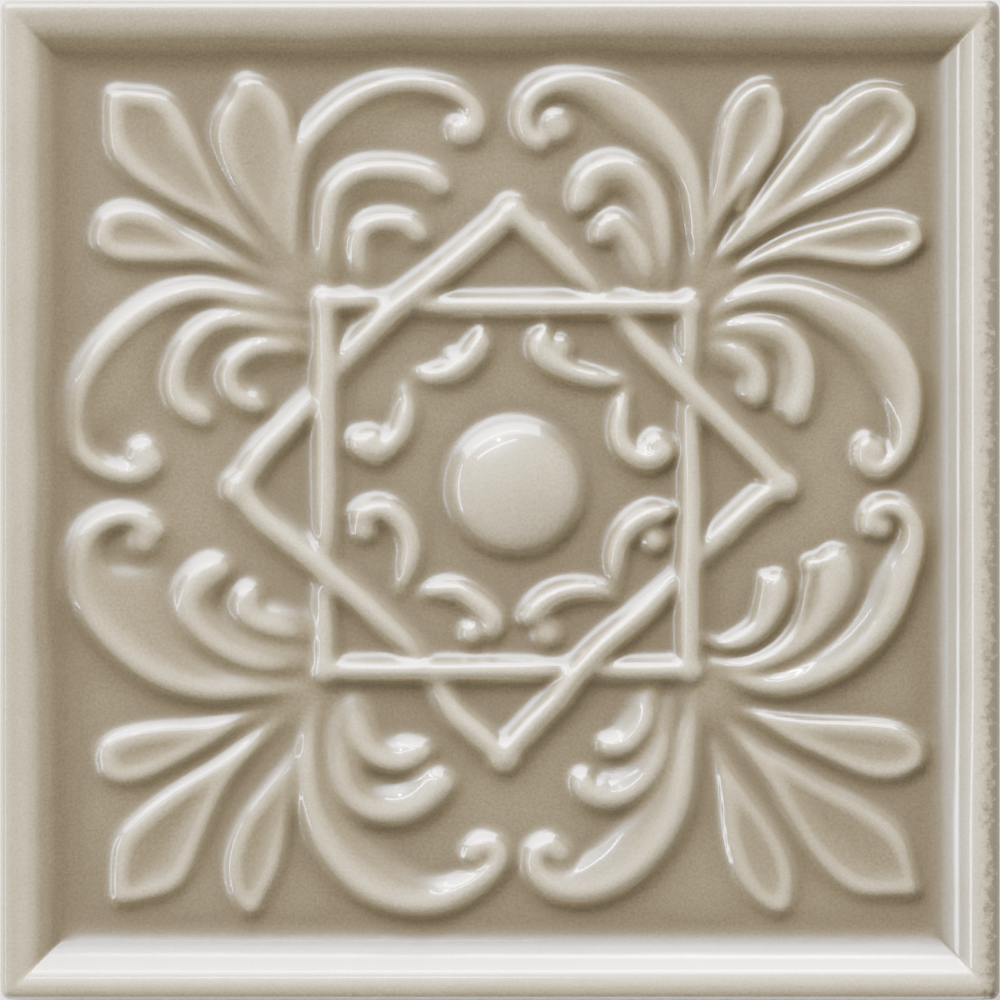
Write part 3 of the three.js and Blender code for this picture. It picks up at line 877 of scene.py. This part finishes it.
def gloss_glaze(finish):
    """A gloss translucent glaze over pressed clay: pale where it is thin on the ridges and brown
    where it lies deep, with painted light on the ridges and painted shade in the hollows, smooth
    but for pinholes, and stopped short of the bare back."""
    material, tree = new_material("gloss_taupe_glaze")
    coordinates = add_node(tree, "ShaderNodeTexCoord").outputs["Object"]
    place = add_node(tree, "ShaderNodeSeparateXYZ", Vector=coordinates)
    pooling_and_painted_light = add_node(tree, "ShaderNodeAttribute", {"attribute_name": "pooling_and_painted_light"}).outputs["Fac"]
    cloud = noise(tree, coordinates, scale=90.0, detail=4.0)
    grain = noise(tree, coordinates, scale=2600.0, detail=2.0)
    sand = noise(tree, coordinates, scale=750.0, detail=3.0, roughness=0.7)
    ripple = noise(tree, coordinates, scale=260.0, detail=2.0)

    # Brown in the hollows and pale on the ridges, partly from the glaze's depth and partly painted
    # shade and painted light, with clouds and specks
    depth_and_painted_light = swayed(tree, pooling_and_painted_light, by=cloud, amount=0.3)
    colour = mixed(tree, ramp(tree, depth_and_painted_light, start=0.1, end=1.15), finish.glaze, finish.deep_glaze_and_shade)
    colour = mixed(tree, ramp(tree, depth_and_painted_light, start=0.27, end=-0.55), colour, finish.thin_glaze_and_painted_light)
    speck = ramp(tree, grain, start=0.3, end=0.7, low=0.82, high=1.18)
    colour = add_node(tree, "ShaderNodeHueSaturation", Color=colour, Value=speck).outputs["Color"]

    # Dark, rough and mottled along the right edge
    edge = swayed(tree, place.outputs["X"], by=sand, amount=7.0 * MM)
    dark_mottled = ramp(tree, edge, start=74.7 * MM, end=76.4 * MM)
    colour = mixed(tree, dark_mottled, colour, finish.rough_rim)

    # A slow ripple and fine pinholes break up the reflections
    bump = add_node(tree, "ShaderNodeBump", Strength=0.16, Distance=0.0003, Height=ripple)
    fine = add_node(tree, "ShaderNodeBump", Strength=0.1, Distance=0.00006, Height=grain,
                    Normal=bump.outputs["Normal"])

    # The clear coat is duller in deep hollows, on the left and on the dark right edge
    roughness = ramp(tree, dark_mottled, start=0.0, end=1.0, low=0.3, high=0.7)
    ridges = ramp(tree, depth_and_painted_light, start=0.4, end=0.66, low=1.0, high=0.12)
    right = ramp(tree, place.outputs["X"], start=-60 * MM, end=30 * MM, low=0.5, high=1.0)
    sound = ramp(tree, dark_mottled, start=0.0, end=0.6, low=1.0, high=0.1)
    coat = product(tree, product(tree, ridges, right), sound)
    glaze = add_node(tree, "ShaderNodeBsdfPrincipled", Base_Color=colour, Roughness=roughness,
                     IOR=1.75, Coat_Weight=coat, Coat_Roughness=0.085, Coat_IOR=1.8,
                     Normal=fine.outputs["Normal"])

    # Bare clay below the ragged end of the glaze
    clay = add_node(tree, "ShaderNodeBsdfPrincipled", Base_Color=linear(finish.biscuit),
                    Roughness=0.85, Normal=fine.outputs["Normal"])
    ragged = swayed(tree, place.outputs["Z"], by=cloud, amount=2.4 * MM)
    glazed = ramp(tree, ragged, start=3.0 * MM, end=3.2 * MM)
    skin = add_node(tree, "ShaderNodeMixShader", Fac=glazed)
    tree.links.new(clay.outputs["BSDF"], skin.inputs[1])
    tree.links.new(glaze.outputs["BSDF"], skin.inputs[2])
    show(tree, skin.outputs["Shader"])
    return material


def studio_floor(colour):
    """Matt painted board: a plain pale ground that takes soft shadows."""
    material, tree = new_material("pale_painted_board")
    shader = add_node(tree, "ShaderNodeBsdfPrincipled", Base_Color=linear(colour), Roughness=0.8)
    show(tree, shader.outputs["BSDF"])
    return material


class TileSizes(bpy.types.PropertyGroup):
    side: bpy.props.FloatProperty(
        name="Side", description="Length of each side of the tile",
        default=TILE_BOX[1][0] - TILE_BOX[0][0], unit="LENGTH")
    top: bpy.props.FloatProperty(
        name="Crest height", description="Height of the border's crest above the back",
        default=TILE_BOX[1][2], unit="LENGTH")


class TileFinish(bpy.types.PropertyGroup):
    glaze: bpy.props.StringProperty(
        name="Glaze", description="Colour of the glaze on level ground", default="#675D46")
    # Colour of pooled glaze and also of painted shade in creases and hollows
    deep_glaze_and_shade: bpy.props.StringProperty(
        name="Deep glaze", description="Colour where the glaze pools", default="#4D4433")
    # Colour of thin glaze and also of painted light on the ridges and the border's slopes
    thin_glaze_and_painted_light: bpy.props.StringProperty(
        name="Thin glaze", description="Colour of the glaze on the ridges", default="#A0967D")
    # Colour of the dark, rough, mottled band along the right edge
    rough_rim: bpy.props.StringProperty(
        name="Rough rim", description="Colour of the starved glaze on the right edge",
        default="#4C4434")
    biscuit: bpy.props.StringProperty(
        name="Biscuit", description="Colour of the bare fired clay", default="#CDBFA9")
    floor: bpy.props.StringProperty(
        name="Floor", description="Colour of the floor", default="#D8D6D2")


class RELIEF_OT_tile(bpy.types.Operator):
    """Press, border, back and glaze the tile"""
    bl_idname = "relief_tile.tile"
    bl_label = "Relief tile"

    def execute(self, context):
        sizes, finish = context.scene.relief_sizes, context.scene.relief_finish
        die = relief_die(sizes.side)
        tile = pressed_tile(die, sizes.side, sizes.top)
        bpy.data.objects.remove(die)
        tile.data.materials.clear()
        tile.data.materials.append(gloss_glaze(finish))
        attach(tile, "root")
        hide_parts("relief_tile")
        return {"FINISHED"}


def soft_light(name, place, width, height, power, mirrored):
    """A rectangular lamp aimed at the tile. One that isn't mirrored has polarising film, so it
    leaves no reflection."""
    data = bpy.data.lights.new(name, "AREA")
    data.shape = "RECTANGLE"
    data.size = width
    data.size_y = height
    data.energy = power
    lamp = bpy.data.objects.new(name, data)
    lamp.location = place
    lamp.visible_glossy = mirrored
    aim = Vector((0.0, 0.0, 0.0)) - Vector(place)
    lamp.rotation_euler = aim.to_track_quat("-Z", "Y").to_euler()
    bpy.context.scene.collection.objects.link(lamp)


class RELIEF_OT_stage(bpy.types.Operator):
    """Floor, lights and camera"""
    bl_idname = "relief_tile.stage"
    bl_label = "Studio stage"

    def execute(self, context):
        sizes, finish = context.scene.relief_sizes, context.scene.relief_finish
        deselect_all()
        bpy.ops.mesh.primitive_plane_add(size=FLOOR_SIZE)
        floor = bpy.context.object
        floor.name = "studio_floor"
        floor.location.z = -FLOOR_GAP
        floor.data.materials.append(studio_floor(finish.floor))
        world = bpy.data.worlds.new("studio_world")
        context.scene.world = world
        world.use_nodes = True
        background = world.node_tree.nodes["Background"]
        background.inputs["Color"].default_value = linear(SKY_COLOUR)
        background.inputs["Strength"].default_value = SKY_STRENGTH
        for name, lamp in LAMPS.items():
            soft_light(name, *lamp)
        data = bpy.data.cameras.new("camera")
        data.lens = data.sensor_width * (CAMERA_HEIGHT - sizes.top) / sizes.side
        camera = bpy.data.objects.new("camera", data)
        camera.location = (0.0, 0.0, CAMERA_HEIGHT)
        context.scene.collection.objects.link(camera)
        context.scene.camera = camera
        return {"FINISHED"}


class RELIEF_PT_panel(bpy.types.Panel):
    bl_label = "Relief Tile"
    bl_idname = "RELIEF_PT_panel"
    bl_space_type = "VIEW_3D"
    bl_region_type = "UI"
    bl_category = "Relief Tile"

    def draw(self, context):
        for operator in OPERATORS:
            self.layout.operator(operator.bl_idname)
        for group in (context.scene.relief_sizes, context.scene.relief_finish):
            for name in group.__annotations__:
                self.layout.prop(group, name)


OPERATORS = (RELIEF_OT_tile, RELIEF_OT_stage)
CLASSES = (TileSizes, TileFinish, *OPERATORS, RELIEF_PT_panel)


def register():
    for cls in CLASSES:
        bpy.utils.register_class(cls)
    bpy.types.Scene.relief_sizes = bpy.props.PointerProperty(type=TileSizes)
    bpy.types.Scene.relief_finish = bpy.props.PointerProperty(type=TileFinish)


def unregister():
    del bpy.types.Scene.relief_sizes
    del bpy.types.Scene.relief_finish
    for cls in reversed(CLASSES):
        bpy.utils.unregister_class(cls)


def main():
    register()
    for operator in (bpy.ops.relief_tile.tile, bpy.ops.relief_tile.stage):
        operator()


if __name__ == "__main__":
    main()
